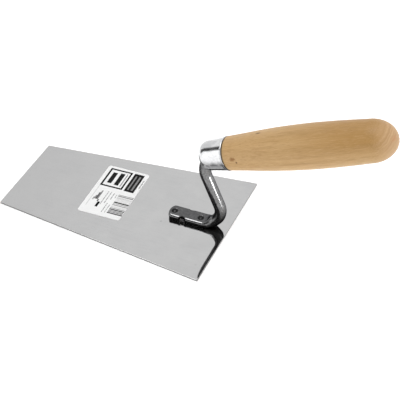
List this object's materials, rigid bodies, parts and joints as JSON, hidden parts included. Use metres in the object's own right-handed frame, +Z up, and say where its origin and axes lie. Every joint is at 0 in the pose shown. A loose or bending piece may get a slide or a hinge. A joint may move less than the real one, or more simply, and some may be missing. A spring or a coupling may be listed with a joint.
{
  "type": "brick trowel",
  "caption": "Hand trowel with a flat trapezoid steel blade, wide at the heel, a welded goose-neck tang, a bright domed ferrule and a turned wooden handle.",
  "frame": {"origin": "centre of the blade's flat underside: half way from toe to heel, on the centre line", "axes": "+X from the blade's toe towards the handle, +Y across the blade (right side for a hand holding it toe forward), +Z up from the blade towards the handle"},
  "size_m": [0.3032, 0.12, 0.1339],
  "materials": {
    "blade_steel": "cold-rolled sheet steel, satin polished, lightly oiled",
    "tang_steel": "forged steel, tumbled, slightly pitted",
    "weld_steel": "weld metal, dark heat tint",
    "ferrule_chrome": "pressed sheet steel, bright plated",
    "handle_wood": "turned beech, thin clear lacquer",
    "label_paper": null
  },
  "bodies": {
    "root": {"blade": "blade_steel", "tang": "tang_steel", "spot_weld_front": "weld_steel", "spot_weld_rear": "weld_steel", "tack_weld_right": "weld_steel", "tack_weld_left": "weld_steel", "ferrule": "ferrule_chrome", "handle": "handle_wood", "label": "label_paper"}
  },
  "joints": []
}
